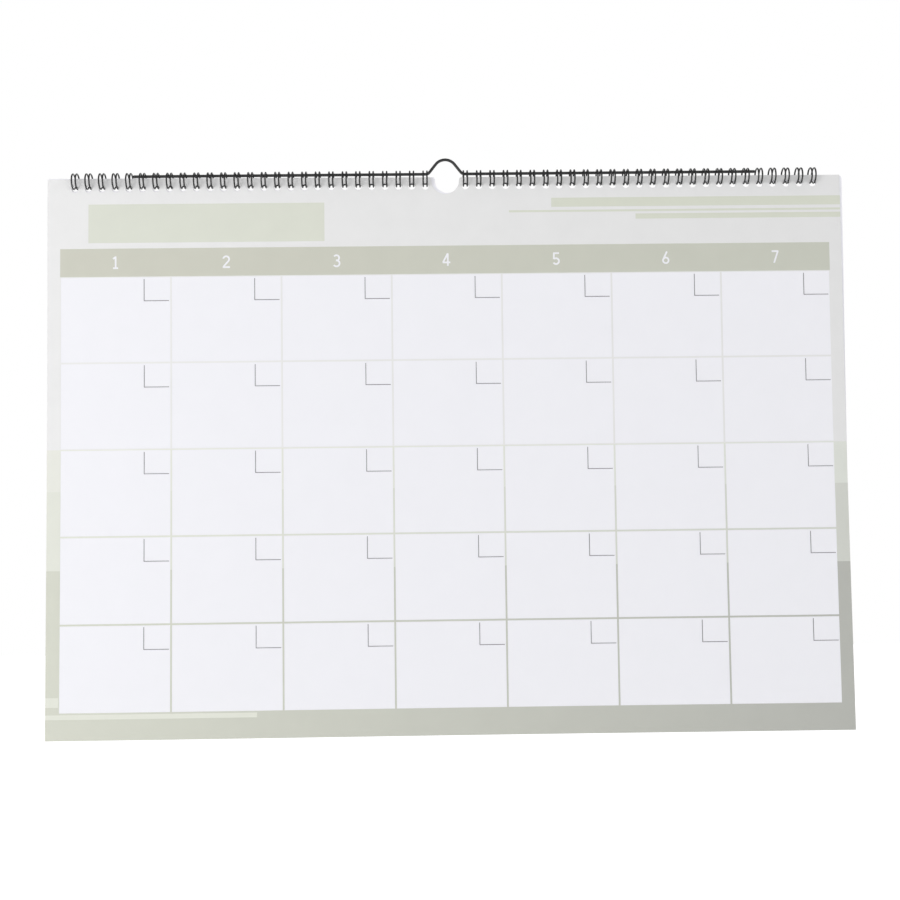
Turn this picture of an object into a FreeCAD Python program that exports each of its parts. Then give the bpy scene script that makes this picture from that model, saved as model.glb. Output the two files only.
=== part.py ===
import FreeCAD, Part
import math
import os

# A wire-bound monthly wall planner, in millimetres, hanging as it does on a wall.
# +X is to the right seen from the front, +Z is up and the printed page faces -Y.
# The origin is where the nail or hook touches the hanger, inside the top of its bump.

# Pages
page_width = 500.0
page_height = 349.5
front_stack = 0.7
rear_stack = 0.6
front_top_askew = 1.1
rear_shift = 0.3
rear_top_left = 0.7
rear_top_right = -1.4
rear_proud_above = 1.8
rear_proud_below = -0.9
rear_corner_round = 2.0
ink = 0.1

# Twin-loop binding wire
wire_pitch = 25.4 / 3
binding_margin = 15.0
loops_left_out = 2
binding_wire = 1.0
loop_radius = 4.7
leg_spacing = 2.4
link_bend = 1.2
seam_angle = 258.0
seam_gap = 0.15

# Punched holes and thumb cut
hole_diameter = 4.2
hole_depth = 6.3
hang_in_hole = 0.3
rear_hole_left = 0.9
rear_hole_right = -0.5
thumb_cut_radius = 8.7
thumb_cut_centre_depth = 2.5
thumb_cut_corner = 1.6
rear_cut_inset = 0.8
rear_cut_shift = 1.4

# Hanger wire
hanger_wire = 1.8
hanger_from_edge = 53.5
hanger_play = 0.4
bump_rise = 9.15
bump_slope = 52.0
foot_bend = 3.0
foot_beside_leg = 0.8
end_round = 0.3

# Printed page: distances are from the page's left edge and down from its top edge
grid_left = 8.0
grid_right = 7.6
grid_top = 62.0
grid_bottom = 16.3
columns = 7
rows = 5
cell_gap = 1.1
header_height = 17.8
month_box_left = 25.6
month_box_top = 16.1
month_box_width = 148.0
month_box_height = 24.5
light_field_row = 2
light_field_height = 26.0
middle_field_height = 49.0
top_stripe_lengths = (183.2, 210.0, 130.0)
top_stripe_tops = (14.3, 22.1, 24.8)
top_stripe_heights = (5.8, 1.3, 3.3)
margin_stripe_above_foot = 10.0
margin_stripe_height = 5.9
foot_stripe_below_grid = 0.5
foot_stripe_height = 2.9
foot_stripe_length = 130.0
date_mark_width = 17.0
date_mark_top = 1.6
date_mark_foot = 15.1
date_mark_inset = 1.3
date_mark_line = 0.4
numeral_height = 8.0
numeral_stroke = 0.14

# Heights and places worked out from the sizes above
hanger_z = -(bump_rise - hanger_wire / 2)
hanger_drop = loop_radius - binding_wire / 2 - hanger_wire / 2 - hanger_play
ring_z = hanger_z - hanger_drop
hole_z = ring_z - loop_radius - hang_in_hole
page_top = hole_z + hole_depth
page_left = -page_width / 2
page_front = -(front_stack + rear_stack) / 2
first_loop = wire_pitch * (loops_left_out + 1) / 2
loops_each_side = int((page_width / 2 - binding_margin - first_loop) / wire_pitch) + 1
loop_places = [first_loop + number * wire_pitch for number in range(loops_each_side)]
cell_width = (page_width - grid_left - grid_right) / columns
cell_height = (page_height - grid_top - grid_bottom) / rows
light_field_top = grid_top + light_field_row * cell_height
middle_field_top = light_field_top + light_field_height
dark_field_top = middle_field_top + middle_field_height
grid_foot = page_height - grid_bottom


def point(x, y, z):
    return FreeCAD.Vector(x, y, z)


def box(left, right, top, bottom, front, depth):
    """A plate between two sides and two heights, from its front face backwards."""
    return Part.makeBox(right - left, depth, top - bottom, point(left, front, bottom))


def page_plate(left, right, top, bottom, front, depth):
    """A plate given as it lies on the page: across from its left edge and down from its top edge."""
    return box(page_left + left, page_left + right, page_top - top, page_top - bottom, front, depth)


def along_page(x, at_left, at_right):
    """A height that runs evenly from the page's left edge to its right edge."""
    return at_left + (at_right - at_left) * (x - page_left) / page_width


def front_top(x):
    return page_top - along_page(x, 0, front_top_askew)


def rear_top(x):
    return page_top + along_page(x, rear_top_left, rear_top_right)


def cylinder_through(x, z, radius, front, depth):
    return Part.makeCylinder(radius, depth, point(x, front, z), point(0, 1, 0))


def solids_of(shapes):
    """One compound of separate solids, with no seams left between joined pieces."""
    found = []
    for shape in shapes:
        found.extend(shape.Solids)
    return Part.makeCompound(found)


def tube(edges, radius):
    """A round wire that follows tangent lines and arcs."""
    path = Part.Wire(edges)
    start = edges[0].firstVertex().Point
    direction = edges[0].tangentAt(edges[0].FirstParameter)
    section = Part.Wire(Part.makeCircle(radius, start, direction))
    swept = path.makePipeShell([section], True, False)
    length = sum(edge.Length for edge in edges)
    print("wire", round(length, 1), "mm, volume share", round(swept.Volume / (math.pi * radius ** 2 * length), 4))
    return swept


def line(start, end):
    return Part.LineSegment(start, end).toShape()


def arc(start, middle, end):
    return Part.Arc(start, middle, end).toShape()


# The ring of a loop: angles run from its top over the front, in degrees
def ring_point(x, angle):
    turn = math.radians(angle)
    return point(x, -loop_radius * math.sin(turn), ring_z + loop_radius * math.cos(turn))


def ring_tangent(angle):
    turn = math.radians(angle)
    return point(0, -math.cos(turn), -math.sin(turn))


# The two legs of a loop leave the straight links at the seam, go over the top and through the hole,
# and meet in a hairpin whose round end points at the links and stays clear of them.
link_angle = math.degrees(math.atan(link_bend / loop_radius))
leg_start = seam_angle + link_angle
hairpin_angle = math.degrees((leg_spacing / 2 + binding_wire + seam_gap) / loop_radius)
leg_end = 360 + seam_angle - hairpin_angle


def leg(x, downwards):
    middle_angle = (leg_start + leg_end) / 2
    ends = [ring_point(x, leg_start), ring_point(x, leg_end)]
    if not downwards:
        ends.reverse()
    return arc(ends[0], ring_point(x, middle_angle), ends[1])


def hairpin(left, right):
    """The half-round end that joins the two legs of one loop."""
    centre = ring_point((left + right) / 2, leg_end)
    tip = centre + ring_tangent(leg_end) * ((right - left) / 2)
    return arc(ring_point(left, leg_end), tip, ring_point(right, leg_end))


def link(left, right):
    """The straight link between two loops, with a quarter bend at each end."""
    back = ring_tangent(leg_start) * -link_bend
    from_leg = ring_point(left, leg_start)
    to_leg = ring_point(right, leg_start)
    across = point(link_bend, 0, 0)
    half = math.sqrt(0.5)
    first_middle = from_leg + across * (1 - half) + back * half
    last_middle = to_leg - across * (1 - half) + back * half
    first = arc(from_leg, first_middle, from_leg + across + back)
    last = arc(to_leg - across + back, last_middle, to_leg)
    return [first, line(from_leg + across + back, to_leg - across + back), last]


def binding_wire_row(places):
    """One continuous wire bent into a row of twin loops."""
    edges = []
    half = leg_spacing / 2
    for number, x in enumerate(places):
        if number:
            edges.extend(link(places[number - 1] + half, x - half))
        edges.append(leg(x - half, True))
        edges.append(hairpin(x - half, x + half))
        edges.append(leg(x + half, False))
    return tube(edges, binding_wire / 2)


def hanger():
    """A long straight wire with a bump in its middle, seen from the front."""
    slope = math.radians(bump_slope)
    foot_x = first_loop - leg_spacing / 2 + foot_beside_leg
    bends = (foot_x - bump_rise / math.tan(slope)) / math.tan(slope / 2)
    crown = bends - foot_bend
    print("bump crown radius", round(crown, 2))
    crown_centre = bump_rise - crown
    foot_end_x = foot_x - foot_bend * math.sin(slope)
    foot_end_z = foot_bend * (1 - math.cos(slope))
    foot_mid_x = foot_x - foot_bend * math.sin(slope / 2)
    foot_mid_z = foot_bend * (1 - math.cos(slope / 2))
    crown_x = crown * math.sin(slope)
    crown_z = crown_centre + crown * math.cos(slope)

    def at(x, height):
        return point(x, 0, hanger_z + height)

    end = page_width / 2 - hanger_from_edge
    edges = [
        line(at(-end, 0), at(-foot_x, 0)),
        arc(at(-foot_x, 0), at(-foot_mid_x, foot_mid_z), at(-foot_end_x, foot_end_z)),
        line(at(-foot_end_x, foot_end_z), at(-crown_x, crown_z)),
        arc(at(-crown_x, crown_z), at(0, bump_rise), at(crown_x, crown_z)),
        line(at(crown_x, crown_z), at(foot_end_x, foot_end_z)),
        arc(at(foot_end_x, foot_end_z), at(foot_mid_x, foot_mid_z), at(foot_x, 0)),
        line(at(foot_x, 0), at(end, 0)),
    ]
    wire = tube(edges, hanger_wire / 2)
    cut_ends = [e for e in wire.Edges if abs(abs(e.CenterOfMass.x) - end) < end_round / 10]
    return wire.makeFillet(end_round, cut_ends)


def binding_holes(front, depth, rise_left, rise_right):
    drills = []
    for x in loop_places:
        for side in (-x, x):
            z = hole_z + along_page(side, rise_left, rise_right)
            drills.append(cylinder_through(side, z, hole_diameter / 2, front, depth))
    return drills


def top_trim(front, depth):
    """The thin wedge by which the front sheets are cut askew along their top."""
    right = page_left + page_width
    corners = [point(page_left, front, page_top), point(right, front, page_top), point(right, front, front_top(right))]
    return Part.Face(Part.makePolygon(corners + corners[:1])).extrude(point(0, depth, 0))


def corners_rounded(plate, places, radius):
    """The plate with the corners at those places, across and up, rounded off."""
    chosen = []
    for edge in plate.Edges:
        middle = edge.CenterOfMass
        for x, z in places:
            if math.hypot(middle.x - x, middle.z - z) < radius / 100:
                chosen.append(edge)
    return plate.makeFillet(radius, chosen)


def with_thumb_cut(plate, front, depth, radius, middle, top):
    """The plate with a U-shaped cut down from its top edge, for a fingertip and the nail."""
    centre_z = page_top - thumb_cut_centre_depth
    sides = [middle - radius, middle + radius]
    slot = box(sides[0], sides[1], page_top + radius, centre_z, front, depth)
    cut = plate.cut([cylinder_through(middle, centre_z, radius, front, depth), slot])
    return corners_rounded(cut, [(side, top(side)) for side in sides], thumb_cut_corner)


def rear_sheets():
    """The rear part of the stack, which hangs a little askew and so shows at the upper corners."""
    front = page_front + front_stack
    left = page_left + rear_shift
    upper_right = page_left + page_width + rear_proud_above
    lower_right = page_left + page_width + rear_proud_below
    bottom = page_top - page_height
    corners = [
        point(left, front, rear_top(left)),
        point(upper_right, front, rear_top(upper_right)),
        point(lower_right, front, bottom),
        point(left, front, bottom),
    ]
    plate = Part.Face(Part.makePolygon(corners + corners[:1])).extrude(point(0, rear_stack, 0))
    plate = corners_rounded(plate, [(upper_right, rear_top(upper_right))], rear_corner_round)
    plate = plate.cut(binding_holes(front, rear_stack, rear_hole_left, rear_hole_right))
    radius = thumb_cut_radius - rear_cut_inset
    return with_thumb_cut(plate, front, rear_stack, radius, rear_cut_shift, rear_top)


def page_block():
    """All the sheets as one solid."""
    front = page_plate(0, page_width, 0, page_height, page_front, front_stack)
    front = front.cut([top_trim(page_front, front_stack)] + binding_holes(page_front, front_stack, 0, 0))
    front = with_thumb_cut(front, page_front, front_stack, thumb_cut_radius, 0, front_top)
    return front.fuse(rear_sheets()).removeSplitter()


def printed(left, right, top, bottom):
    """One area of ink on the front page."""
    return page_plate(left, right, top, bottom, page_front - ink, ink)


def cell_plates():
    plates = []
    for row in range(rows):
        for column in range(columns):
            left = grid_left + column * cell_width + cell_gap / 2
            top = grid_top + row * cell_height + cell_gap / 2
            right = left + cell_width - cell_gap
            bottom = top + cell_height - cell_gap
            plates.append(printed(left, right, top, bottom))
    return plates


def top_stripe_plates():
    plates = []
    for length, top, height in zip(top_stripe_lengths, top_stripe_tops, top_stripe_heights):
        plates.append(printed(page_width - length, page_width, top, top + height))
    return plates


def header_plate():
    return printed(grid_left, page_width - grid_right, grid_top - header_height, grid_top)


def month_plate():
    right = month_box_left + month_box_width
    return printed(month_box_left, right, month_box_top, month_box_top + month_box_height)


def corner_stripe_plates():
    margin_top = grid_foot - margin_stripe_above_foot
    foot_top = grid_foot + foot_stripe_below_grid
    margin = printed(0, grid_left, margin_top, margin_top + margin_stripe_height)
    foot = printed(0, foot_stripe_length, foot_top, foot_top + foot_stripe_height)
    return [margin, foot]


def field(top, bottom, windows):
    """A colour field across the whole page, open where another colour or bare paper shows."""
    return printed(0, page_width, top, bottom).cut(windows)


def upper_field():
    front = page_front - ink
    windows = cell_plates() + top_stripe_plates() + [header_plate(), month_plate()]
    openings = binding_holes(front, ink, 0, 0) + [top_trim(front, ink)]
    plate = field(0, light_field_top, windows + openings)
    return with_thumb_cut(plate, front, ink, thumb_cut_radius, 0, front_top)


# A numeral is drawn in a box of height 1, from strokes about the middle of its column
def bar(start, end):
    """A straight stroke with square ends."""
    length = math.hypot(end[0] - start[0], end[1] - start[1])
    angle = math.degrees(math.atan2(end[1] - start[1], end[0] - start[0]))
    stroke = Part.makeBox(length, ink, numeral_stroke, point(0, 0, -numeral_stroke / 2))
    stroke.rotate(point(0, 0, 0), point(0, 1, 0), -angle)
    stroke.translate(point(start[0], 0, start[1]))
    return stroke


def bow(centre, radius, first, last):
    """A round stroke between two angles, counted from the right and upwards."""
    outer = radius + numeral_stroke / 2
    inner = radius - numeral_stroke / 2

    def at(reach, angle):
        turn = math.radians(angle)
        return point(centre[0] + reach * math.cos(turn), 0, centre[1] + reach * math.sin(turn))

    middle = (first + last) / 2
    edges = [
        arc(at(outer, first), at(outer, middle), at(outer, last)),
        line(at(outer, last), at(inner, last)),
        arc(at(inner, last), at(inner, middle), at(inner, first)),
        line(at(inner, first), at(outer, first)),
    ]
    return Part.Face(Part.Wire(edges)).extrude(point(0, ink, 0))


def numeral_strokes():
    one = [bar((0, 0), (0, 1)), bar((-0.2, 0.8), (0.02, 0.97)), bar((-0.2, 0.07), (0.2, 0.07))]
    two = [bow((0, 0.7), 0.23, -40, 170), bar((0.2, 0.58), (-0.24, 0.08)), bar((-0.28, 0.07), (0.3, 0.07))]
    three = [bow((0, 0.72), 0.21, -100, 150), bow((0, 0.29), 0.24, -150, 100)]
    four = [bar((0.1, 1), (-0.28, 0.28)), bar((-0.31, 0.28), (0.3, 0.28)), bar((0.1, 0), (0.1, 1))]
    five = [bar((-0.24, 0.93), (0.22, 0.93)), bar((-0.19, 0.93), (-0.19, 0.45)), bow((-0.02, 0.3), 0.23, -150, 135)]
    six = [bow((0, 0.28), 0.22, 0, 180), bow((0, 0.28), 0.22, 180, 360), bar((-0.2, 0.36), (0.1, 0.99))]
    seven = [bar((-0.26, 0.93), (0.28, 0.93)), bar((0.24, 0.94), (-0.08, 0))]
    return [one, two, three, four, five, six, seven]


def numerals():
    """Plain numerals 1 to 7 at the heads of the columns."""
    shapes = []
    middle = page_top - grid_top + header_height / 2
    for column, strokes in enumerate(numeral_strokes()):
        shape = strokes[0].multiFuse(strokes[1:])
        grow = FreeCAD.Matrix()
        grow.scale(numeral_height, 1, numeral_height)
        shape = shape.transformGeometry(grow)
        x = page_left + grid_left + (column + 0.5) * cell_width
        shape.translate(point(x, page_front - ink, middle - numeral_height / 2))
        shapes.append(shape)
    return shapes


def date_marks():
    """The L in each cell's upper right corner, where the date is written."""
    marks = []
    for row in range(rows):
        for column in range(columns):
            right = grid_left + (column + 1) * cell_width - date_mark_inset
            left = right - date_mark_width + date_mark_inset
            top = grid_top + row * cell_height
            foot = top + date_mark_foot
            upright = printed(left, left + date_mark_line, top + date_mark_top, foot)
            base = printed(left, right, foot, foot + date_mark_line)
            marks.append(upright.fuse(base).removeSplitter())
    return marks


pieces = {
    "hanger": [hanger()],
    "left_binding_wire": [binding_wire_row([-x for x in reversed(loop_places)])],
    "right_binding_wire": [binding_wire_row(loop_places)],
    "page_block": [page_block()],
    "upper_print_field": [upper_field()],
    "light_print_field": [field(light_field_top, middle_field_top, cell_plates())],
    "middle_print_field": [field(middle_field_top, dark_field_top, cell_plates())],
    "dark_print_field": [field(dark_field_top, page_height, cell_plates() + corner_stripe_plates())],
    "header_band": [header_plate().cut(numerals())],
    "month_box": [month_plate()],
    "top_stripes": top_stripe_plates(),
    "corner_stripes": corner_stripe_plates(),
    "date_marks": date_marks(),
}

os.makedirs("parts", exist_ok=True)
for name, shapes in pieces.items():
    group = solids_of(shapes)
    shape = group.Solids[0] if len(group.Solids) == 1 else group
    print(name, len(group.Solids), "valid" if shape.isValid() else "NOT VALID", round(shape.Volume, 2))
    shape.exportStep("parts/" + name + ".step")
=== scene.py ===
import math

import bmesh
import bpy
import numpy as np
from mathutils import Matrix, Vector
from mathutils.geometry import delaunay_2d_cdt


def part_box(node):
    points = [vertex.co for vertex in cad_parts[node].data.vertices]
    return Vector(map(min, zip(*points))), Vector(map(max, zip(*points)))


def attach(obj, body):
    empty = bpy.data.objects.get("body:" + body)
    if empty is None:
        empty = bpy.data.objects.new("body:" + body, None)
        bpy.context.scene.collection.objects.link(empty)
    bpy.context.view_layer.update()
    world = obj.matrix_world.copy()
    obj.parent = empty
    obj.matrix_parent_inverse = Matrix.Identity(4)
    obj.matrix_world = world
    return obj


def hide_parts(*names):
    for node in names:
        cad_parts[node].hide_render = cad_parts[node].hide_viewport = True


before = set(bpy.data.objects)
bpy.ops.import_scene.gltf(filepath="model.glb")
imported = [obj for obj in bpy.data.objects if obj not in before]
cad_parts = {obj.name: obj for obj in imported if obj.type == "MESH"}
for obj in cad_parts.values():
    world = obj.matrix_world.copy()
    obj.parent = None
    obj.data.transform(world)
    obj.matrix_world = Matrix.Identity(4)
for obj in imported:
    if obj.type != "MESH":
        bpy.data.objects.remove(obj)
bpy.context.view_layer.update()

# The page as the frame gives it, in metres
PAGE_LOW, PAGE_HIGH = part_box("page_block")
PAGE_TOP = PAGE_HIGH.z
PAGE_HEIGHT = PAGE_HIGH.z - PAGE_LOW.z
PAGE_WIDTH = PAGE_HIGH.x - PAGE_LOW.x
PAGE_MIDDLE = (PAGE_HIGH.x + PAGE_LOW.x) / 2

# The stack of sheets
SHEETS = 13
FRONT_SHEETS = 7
SHEET_SHARE = 0.9
MESH_STEP = 0.0125
LEAST_STEP = 0.001

# How exactly points are matched, in metres, and which edges are drawn sharp, in degrees
WELD = 1e-6
ON_PLANE = 1e-5
FACING_SHARE = 0.9
SHARP_SHEET_EDGE = 40
SHARP_WIRE_EDGE = 50

# How the hanging sheets bow, curl and part from each other
FLAT_TOP = 0.03
BELLY = 0.0009
WAVE = 0.00035
WAVE_LENGTH = 0.41
WAVE_START = 0.7
CORNER_CURL = 0.0013
CORNER_REACH = 0.16
LEFT_CURL_SHARE = 0.6
FAN = 0.0011
FAN_GROWTH = 1.3
FAN_AT_MIDDLE = 0.45
FAN_TO_EDGES = 0.55

# Colours: the paper's as it looks on screen, from 0 to 255, the others in the shader's linear scale
PAPER = (243, 243, 248)
PAPER_MOTTLE = 0.012
INK_MOTTLE = 0.03
WIRE_DARK = (0.006, 0.006, 0.0065, 1)
WIRE_WORN = (0.02, 0.02, 0.021, 1)
HANGER_ROUGHNESS = 0.38
BINDING_ROUGHNESS = 0.34
FLOOR_PAINT = (0.85, 0.85, 0.85, 1)
WHITE = (1, 1, 1, 1)

# Camera: a 50 mm lens on a 36 mm sensor, fitted to the printed grid in the photograph
CAMERA_PLACE = (-0.0102, -0.78027, -0.22363)
CAMERA_TURN = (92.983, 0.707, -0.78)
LENS = 50.0
SENSOR = 36.0

FLOOR_Z = -0.95
FLOOR_SIZE = 12.0
FLOOR_GLOW = 0.75
FLOOR_ROUGHNESS = 0.9

# Soft studio light: the strength of the world, and each lamp's place, size and power
AMBIENT = 0.51
LAMP_TARGET = (0, 0, -0.18)
LAMPS = {
    "key_left": ((-1.3, -1.35, -0.1), (1.0, 1.3), 12.8),
    "fill_right": ((1.6, -1.4, 0.2), (1.2, 1.2), 6.0),
    "front_soft": ((0, -1.7, 0.5), (1.6, 1.0), 3.2),
    "rear_soft": ((0.3, 1.6, 0.5), (1.4, 1.2), 8.0),
}


def smooth(value, low, high):
    """0 below low, 1 above high and a soft step between them."""
    share = np.clip((value - low) / (high - low), 0, 1)
    return share * share * (3 - 2 * share)


def bow(x, z, level):
    """How far a point of the page lies behind the flat page; level is 0 on the front sheet, 1 on the last."""
    down = (PAGE_TOP - z) / PAGE_HEIGHT
    across = (x - PAGE_MIDDLE) / (PAGE_WIDTH / 2)
    free = smooth(PAGE_TOP - z, FLAT_TOP, PAGE_HEIGHT)
    belly = BELLY * np.sin(math.pi * np.clip(down, 0, 1)) * smooth(PAGE_TOP - z, FLAT_TOP, 4 * FLAT_TOP)
    wave = WAVE * free * np.sin(2 * math.pi * x / WAVE_LENGTH + WAVE_START)
    right = np.exp(-((x - PAGE_HIGH.x) ** 2 + (z - PAGE_LOW.z) ** 2) / CORNER_REACH ** 2)
    left = np.exp(-((x - PAGE_LOW.x) ** 2 + (z - PAGE_LOW.z) ** 2) / CORNER_REACH ** 2)
    curl = -CORNER_CURL * (right + LEFT_CURL_SHARE * left)
    fan = FAN * level ** FAN_GROWTH * free * (FAN_AT_MIDDLE + FAN_TO_EDGES * across ** 2)
    return belly + wave + curl * free + fan


def face_outline(node, front):
    """The edges around a node's front or rear face, as pairs of points across and up."""
    low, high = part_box(node)
    plane = low.y if front else high.y
    facing = -1 if front else 1
    work = bmesh.new()
    work.from_mesh(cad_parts[node].data)
    bmesh.ops.remove_doubles(work, verts=work.verts, dist=WELD)
    work.normal_update()
    chosen = set()
    for face in work.faces:
        if face.normal.y * facing > FACING_SHARE and abs(face.calc_center_median().y - plane) < ON_PLANE:
            chosen.add(face)
    edges = []
    for edge in work.edges:
        if sum(face in chosen for face in edge.link_faces) == 1:
            edges.append([[v.co.x, v.co.z] for v in edge.verts])
    work.free()
    return np.array(edges)


def divided(edges):
    """The same edges with long ones cut, so that they can bend."""
    short = []
    for start, end in edges:
        count = max(1, math.ceil(np.linalg.norm(end - start) / MESH_STEP))
        steps = np.linspace(start, end, count + 1)
        short.extend(zip(steps[:-1], steps[1:]))
    return np.array(short)


def inside(points, edges):
    """Which points lie within the outline, by the even-odd rule."""
    x, z = points[:, :1], points[:, 1:]
    x1, z1 = edges[:, 0, 0], edges[:, 0, 1]
    x2, z2 = edges[:, 1, 0], edges[:, 1, 1]
    crosses = (z1 > z) != (z2 > z)
    rise = np.where(z2 == z1, 1, z2 - z1)
    left_of = x < (x2 - x1) * (z - z1) / rise + x1
    return (crosses & left_of).sum(1) % 2 == 1


def clear_of(points, edges):
    """Which points keep a small distance from every edge."""
    start, along = edges[:, 0], edges[:, 1] - edges[:, 0]
    lengths = np.maximum((along ** 2).sum(1), 1e-12)
    offset = points[:, None] - start[None]
    share = np.clip((offset * along).sum(2) / lengths, 0, 1)
    gap = np.linalg.norm(offset - share[..., None] * along, axis=2)
    return gap.min(1) > LEAST_STEP


def filled(edges):
    """Points and triangles that fill an outline finely enough to bend."""
    edges = divided(edges)
    low, high = edges.reshape(-1, 2).min(0), edges.reshape(-1, 2).max(0)
    counts = np.maximum(2, np.ceil((high - low) / MESH_STEP).astype(int))
    xs = np.linspace(low[0], high[0], counts[0] + 1)[1:-1]
    zs = np.linspace(low[1], high[1], counts[1] + 1)[1:-1]
    grid = np.array([[x, z] for x in xs for z in zs])
    if len(grid):
        grid = grid[inside(grid, edges)]
    if len(grid):
        grid = grid[clear_of(grid, edges)]
    corners, index = np.unique(np.round(edges.reshape(-1, 2), 7), axis=0, return_inverse=True)
    pairs = index.reshape(-1, 2).tolist()
    pairs = [pair for pair in pairs if pair[0] != pair[1]]
    points = [Vector(place) for place in np.vstack([corners, grid.reshape(-1, 2)])]
    result = delaunay_2d_cdt(points, pairs, [], 0, 1e-8)
    flat = np.array([list(p) for p in result[0]])
    triangles = np.array([list(face) for face in result[2]])
    keep = inside(flat[triangles].mean(1), edges)
    return flat, triangles[keep]


def bent_plate(name, edges, front, depth, level):
    """A thin closed plate of that outline, bent as the page is."""
    flat, triangles = filled(edges)
    used, index = np.unique(triangles, return_inverse=True)
    flat, triangles = flat[used], index.reshape(-1, 3)
    a, b, c = flat[triangles[:, 0]], flat[triangles[:, 1]], flat[triangles[:, 2]]
    turn = (b[:, 0] - a[:, 0]) * (c[:, 1] - a[:, 1]) - (b[:, 1] - a[:, 1]) * (c[:, 0] - a[:, 0])
    triangles[turn < 0] = triangles[turn < 0][:, ::-1]
    y = front + bow(flat[:, 0], flat[:, 1], level)
    count = len(flat)
    near = np.column_stack([flat[:, 0], y, flat[:, 1]])
    far = near + np.array([0, depth, 0])
    sides = np.vstack([triangles[:, [0, 1]], triangles[:, [1, 2]], triangles[:, [2, 0]]])
    seen = {tuple(side) for side in sides.tolist()}
    faces = triangles.tolist() + (triangles[:, ::-1] + count).tolist()
    for start, end in seen:
        if (end, start) not in seen:
            faces.append([end, start, start + count, end + count])
    mesh = bpy.data.meshes.new(name)
    mesh.from_pydata(np.vstack([near, far]).tolist(), [], faces)
    mesh.shade_smooth()
    mesh.set_sharp_from_angle(angle=math.radians(SHARP_SHEET_EDGE))
    piece = bpy.data.objects.new(name, mesh)
    bpy.context.scene.collection.objects.link(piece)
    return piece


# Materials
def new_material(name):
    """A material with its nodes, its links and its main shader."""
    material = bpy.data.materials.new(name)
    material.use_nodes = True
    nodes = material.node_tree.nodes
    return material, nodes, material.node_tree.links, nodes["Principled BSDF"]


def noise(nodes, links, scale, detail, place):
    """A noise texture fixed to the piece's own shape."""
    texture = nodes.new("ShaderNodeTexNoise")
    texture.inputs["Scale"].default_value = scale
    texture.inputs["Detail"].default_value = detail
    links.new(place.outputs["Object"], texture.inputs["Vector"])
    return texture


def bump_of(nodes, links, height, distance, strength, before=None):
    """A bump from a height, laid over an earlier bump if there is one."""
    bump = nodes.new("ShaderNodeBump")
    bump.inputs["Distance"].default_value = distance
    bump.inputs["Strength"].default_value = strength
    links.new(height, bump.inputs["Height"])
    if before:
        links.new(before.outputs["Normal"], bump.inputs["Normal"])
    return bump


def linear(channel):
    """A colour channel as it looks on screen, from 0 to 255, in the shader's linear scale."""
    share = channel / 255
    return share / 12.92 if share <= 0.04045 else ((share + 0.055) / 1.055) ** 2.4


def seen_colour(red, green, blue):
    """A colour as it looks on screen, in the shader's linear scale."""
    return [linear(red), linear(green), linear(blue)]


def shaded_tone(nodes, links, colour, mottle, cloud):
    """One colour with a slight cloudy mottle in its tone."""
    tone = nodes.new("ShaderNodeMix")
    tone.data_type = "RGBA"
    plain = seen_colour(*colour)
    tone.inputs["A"].default_value = [channel * (1 - mottle) for channel in plain] + [1]
    tone.inputs["B"].default_value = [min(1, channel * (1 + mottle)) for channel in plain] + [1]
    links.new(cloud.outputs["Fac"], tone.inputs["Factor"])
    return tone


def paper_material(name, left, right, mottle=INK_MOTTLE):
    """Uncoated paper with painted light: its ink blends from the left colour to the right one across the
    page, in place of the fall of light and sheen; with fibre, a slight mottle and a broad soft waviness.
    """
    material, nodes, links, shader = new_material(name)
    place = nodes.new("ShaderNodeTexCoord")
    fibre = noise(nodes, links, 1400, 5, place)
    cloud = noise(nodes, links, 60, 6, place)
    wavy = noise(nodes, links, 5, 1, place)
    # Painted light: the ink's tone is mixed from left to right across the page, lighter where the light and
    # its sheen fall.
    parts = nodes.new("ShaderNodeSeparateXYZ")
    links.new(place.outputs["Object"], parts.inputs["Vector"])
    across = nodes.new("ShaderNodeMapRange")
    across.inputs["From Min"].default_value = PAGE_LOW.x
    across.inputs["From Max"].default_value = PAGE_HIGH.x
    links.new(parts.outputs["X"], across.inputs["Value"])
    ink = nodes.new("ShaderNodeMix")
    ink.data_type = "RGBA"
    links.new(across.outputs["Result"], ink.inputs["Factor"])
    links.new(shaded_tone(nodes, links, left, mottle, cloud).outputs["Result"], ink.inputs["A"])
    links.new(shaded_tone(nodes, links, right, mottle, cloud).outputs["Result"], ink.inputs["B"])
    links.new(ink.outputs["Result"], shader.inputs["Base Color"])
    broad = bump_of(nodes, links, wavy.outputs["Fac"], 0.004, 0.25)
    fine = bump_of(nodes, links, fibre.outputs["Fac"], 0.00006, 0.35, broad)
    links.new(fine.outputs["Normal"], shader.inputs["Normal"])
    shader.inputs["Roughness"].default_value = 0.5
    shader.inputs["Specular IOR Level"].default_value = 0.5
    return material


def wire_material(name, roughness):
    """Black nylon-coated steel wire: a satin skin with fine ripples and faint scuffs."""
    material, nodes, links, shader = new_material(name)
    place = nodes.new("ShaderNodeTexCoord")
    ripple = noise(nodes, links, 900, 4, place)
    scuff = noise(nodes, links, 160, 6, place)
    ramp = nodes.new("ShaderNodeValToRGB")
    ramp.color_ramp.elements[0].position = 0.45
    ramp.color_ramp.elements[0].color = WIRE_DARK
    ramp.color_ramp.elements[1].position = 0.8
    ramp.color_ramp.elements[1].color = WIRE_WORN
    links.new(scuff.outputs["Fac"], ramp.inputs["Fac"])
    links.new(ramp.outputs["Color"], shader.inputs["Base Color"])
    spread = nodes.new("ShaderNodeMapRange")
    spread.inputs["To Min"].default_value = roughness - 0.06
    spread.inputs["To Max"].default_value = roughness + 0.1
    links.new(scuff.outputs["Fac"], spread.inputs["Value"])
    links.new(spread.outputs["Result"], shader.inputs["Roughness"])
    bump = bump_of(nodes, links, ripple.outputs["Fac"], 0.00004, 0.4)
    links.new(bump.outputs["Normal"], shader.inputs["Normal"])
    return material


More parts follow.
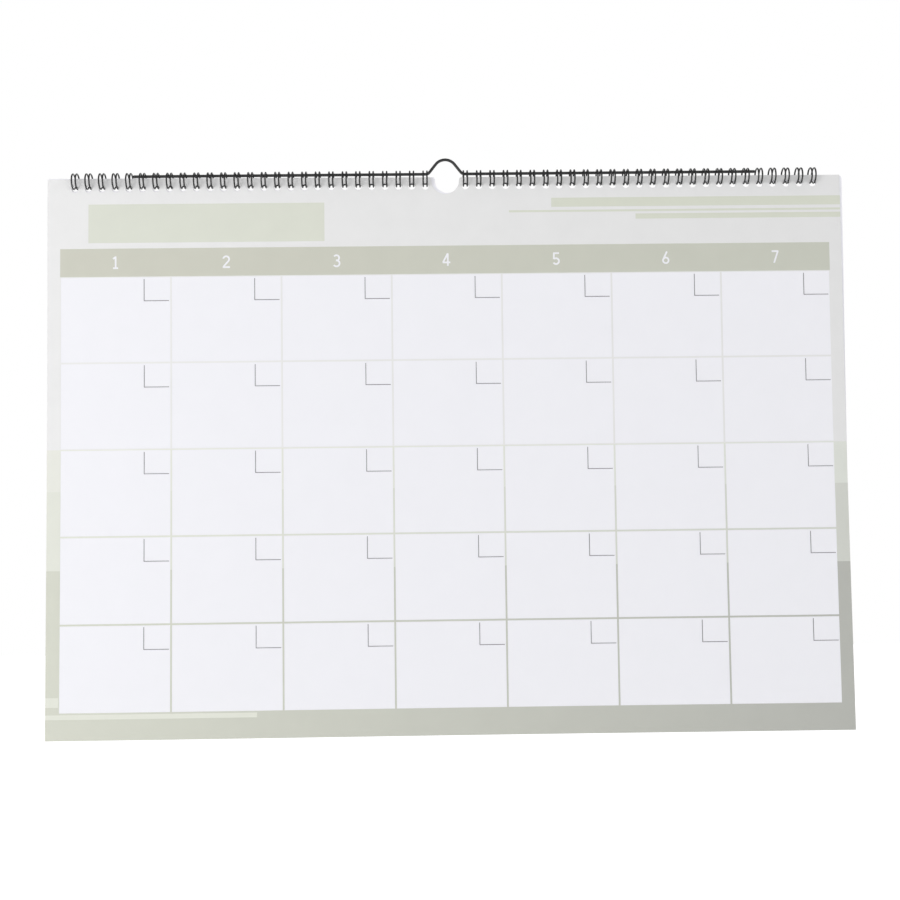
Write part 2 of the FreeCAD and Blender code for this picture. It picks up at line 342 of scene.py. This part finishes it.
def dress(node, material):
    """Gives a node that keeps its own shape a better material."""
    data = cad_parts[node].data
    data.materials.clear()
    data.materials.append(material)
    data.shade_smooth()
    data.set_sharp_from_angle(angle=math.radians(SHARP_WIRE_EDGE))


def add_wires():
    """The hanger and the two rows of loops keep the frame's own shape."""
    dress("hanger", wire_material("hanger_black", HANGER_ROUGHNESS))
    binding = wire_material("binding_black", BINDING_ROUGHNESS)
    dress("left_binding_wire", binding)
    dress("right_binding_wire", binding)


def add_sheets():
    """The stack as separate sheets, the rear ones cut a little askew as the frame has them."""
    paper = paper_material("white_paper", PAPER, PAPER, PAPER_MOTTLE)
    outlines = [face_outline("page_block", True), face_outline("page_block", False)]
    pitch = (PAGE_HIGH.y - PAGE_LOW.y) / SHEETS
    for number in range(SHEETS):
        outline = outlines[0] if number < FRONT_SHEETS else outlines[1]
        level = number / (SHEETS - 1)
        name = f"sheet_{number + 1:02d}"
        sheet = bent_plate(name, outline, PAGE_LOW.y + number * pitch, pitch * SHEET_SHARE, level)
        sheet.data.materials.append(paper)
        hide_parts("page_block")
        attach(sheet, "pages")


# Each print's finish and its colour at the page's left and right edges. The step from the left colour to the
# right one is painted light: each ink is painted lighter towards the left, where the light and its sheen fall
# on the page.
PRINT_TONES_AND_PAINTED_LIGHT = {
    "upper_print_field": ("pale_print", (235, 235, 235), (230, 230, 230)),
    "light_print_field": ("light_sage_print", (231, 232, 224), (221, 224, 217)),
    "middle_print_field": ("middle_sage_print", (226, 228, 218), (209, 211, 204)),
    "dark_print_field": ("dark_sage_print", (212, 214, 201), (183, 184, 178)),
    "header_band": ("header_print", (204, 204, 191), (200, 202, 190)),
    "month_box": ("month_print", (219, 222, 210), (219, 221, 208)),
    "top_stripes": ("stripe_print", (217, 220, 206), (215, 218, 204)),
    "corner_stripes": ("light_sage_print", (227, 229, 218), (226, 228, 217)),
    "date_marks": ("grey_line_print", (120, 116, 122), (120, 116, 122)),
}


def add_print():
    """Each colour of ink as its own thin film on the front sheet, bent with it."""
    for node, (slot, left, right) in PRINT_TONES_AND_PAINTED_LIGHT.items():
        low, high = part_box(node)
        film = bent_plate(node + "_film", face_outline(node, True), low.y, high.y - low.y, 0)
        # Each ink film carries painted light, its colour painted lighter towards the page's left.
        film.data.materials.append(paper_material(node + "_ink", left, right))
        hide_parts(node)
        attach(film, "pages")


# Stage, lights and camera
def white_stage_material():
    """A pale floor that looks white to the camera and keeps soft shadows."""
    material, nodes, links, shader = new_material("stage_white")
    shader.inputs["Base Color"].default_value = FLOOR_PAINT
    shader.inputs["Roughness"].default_value = FLOOR_ROUGHNESS
    path = nodes.new("ShaderNodeLightPath")
    seen = nodes.new("ShaderNodeMath")
    seen.operation = "MAXIMUM"
    links.new(path.outputs["Is Camera Ray"], seen.inputs[0])
    links.new(path.outputs["Is Glossy Ray"], seen.inputs[1])
    glow = nodes.new("ShaderNodeEmission")
    glow.inputs["Strength"].default_value = FLOOR_GLOW
    both = nodes.new("ShaderNodeAddShader")
    links.new(shader.outputs["BSDF"], both.inputs[0])
    links.new(glow.outputs["Emission"], both.inputs[1])
    mix = nodes.new("ShaderNodeMixShader")
    links.new(seen.outputs["Value"], mix.inputs["Fac"])
    links.new(shader.outputs["BSDF"], mix.inputs[1])
    links.new(both.outputs["Shader"], mix.inputs[2])
    links.new(mix.outputs["Shader"], nodes["Material Output"].inputs["Surface"])
    return material


def add_floor():
    """A large floor well below the object."""
    half = FLOOR_SIZE / 2
    mesh = bpy.data.meshes.new("floor")
    corners = [(-half, -half, FLOOR_Z), (half, -half, FLOOR_Z), (half, half, FLOOR_Z), (-half, half, FLOOR_Z)]
    mesh.from_pydata(corners, [], [(0, 1, 2, 3)])
    mesh.materials.append(white_stage_material())
    floor = bpy.data.objects.new("floor", mesh)
    bpy.context.scene.collection.objects.link(floor)


def add_world():
    """White to the camera, and a soft grey light on the object."""
    world = bpy.data.worlds.new("studio")
    bpy.context.scene.world = world
    world.use_nodes = True
    nodes, links = world.node_tree.nodes, world.node_tree.links
    ambient = nodes["Background"]
    ambient.inputs["Color"].default_value = WHITE
    ambient.inputs["Strength"].default_value = AMBIENT
    white = nodes.new("ShaderNodeBackground")
    white.inputs["Color"].default_value = WHITE
    white.inputs["Strength"].default_value = 1.0
    path = nodes.new("ShaderNodeLightPath")
    mix = nodes.new("ShaderNodeMixShader")
    links.new(path.outputs["Is Camera Ray"], mix.inputs["Fac"])
    links.new(ambient.outputs["Background"], mix.inputs[1])
    links.new(white.outputs["Background"], mix.inputs[2])
    links.new(mix.outputs["Shader"], nodes["World Output"].inputs["Surface"])


def add_lamp(name, place, size, power):
    """A rectangular lamp that faces the lamps' common target."""
    data = bpy.data.lights.new(name, "AREA")
    data.shape = "RECTANGLE"
    data.size, data.size_y = size
    data.energy = power
    lamp = bpy.data.objects.new(name, data)
    lamp.location = place
    lamp.rotation_euler = (Vector(LAMP_TARGET) - Vector(place)).to_track_quat("-Z", "Y").to_euler()
    bpy.context.scene.collection.objects.link(lamp)


def add_lights():
    """The four soft lamps."""
    for name, (place, size, power) in LAMPS.items():
        add_lamp(name, place, size, power)


def add_camera():
    """The camera, placed as in the photograph."""
    data = bpy.data.cameras.new("camera")
    data.lens = LENS
    data.sensor_width = SENSOR
    camera = bpy.data.objects.new("camera", data)
    camera.location = CAMERA_PLACE
    camera.rotation_euler = [math.radians(angle) for angle in CAMERA_TURN]
    bpy.context.scene.collection.objects.link(camera)
    bpy.context.scene.camera = camera


add_wires()
add_sheets()
add_print()
add_floor()
add_world()
add_lights()
add_camera()
bpy.context.scene.view_settings.view_transform = "Standard"
